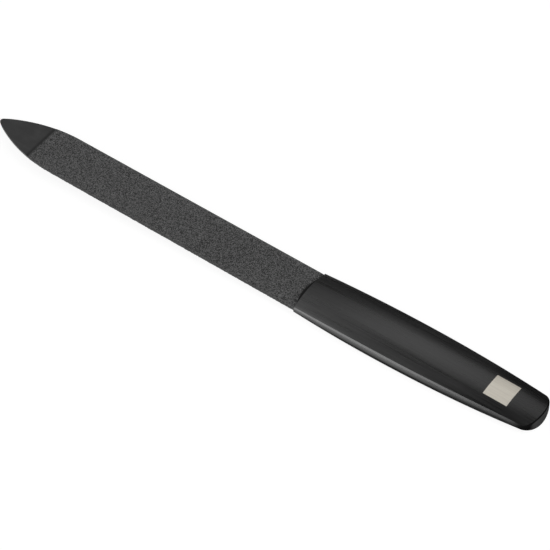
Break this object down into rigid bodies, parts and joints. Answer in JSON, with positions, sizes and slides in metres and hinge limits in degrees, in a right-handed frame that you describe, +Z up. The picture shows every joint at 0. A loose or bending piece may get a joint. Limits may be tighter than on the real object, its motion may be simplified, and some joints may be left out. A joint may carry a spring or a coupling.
{
  "type": "metal nail file",
  "caption": "Flat pointed steel nail file with a gritted blade, a bare cleaning point and a crowned hollow handle in black-coated steel, held in one hand to shape fingernails",
  "frame": {"origin": "under the middle of the whole file, on the table that the handle's belly touches", "axes": "X runs along the file from its point to its butt, Y across the blade, Z up on the side of the upper grit face"},
  "size_m": [0.1602, 0.0148, 0.0057],
  "materials": {
    "blade_steel": "thin black coat on spring steel, satin",
    "grit": "fine dark grey abrasive grains in a bonded layer",
    "handle_steel": "lengthwise brushed steel under a black coat, satin",
    "core_resin": "moulded filled resin",
    "pin_steel": "cut steel wire"
  },
  "bodies": {
    "root": {"file_blade": "blade_steel", "upper_grit_coat": "grit", "lower_grit_coat": "grit", "upper_handle_shell": "handle_steel", "lower_handle_shell": "handle_steel", "upper_core": "core_resin", "lower_core": "core_resin", "front_tang_pin": "pin_steel", "rear_tang_pin": "pin_steel"}
  },
  "joints": []
}
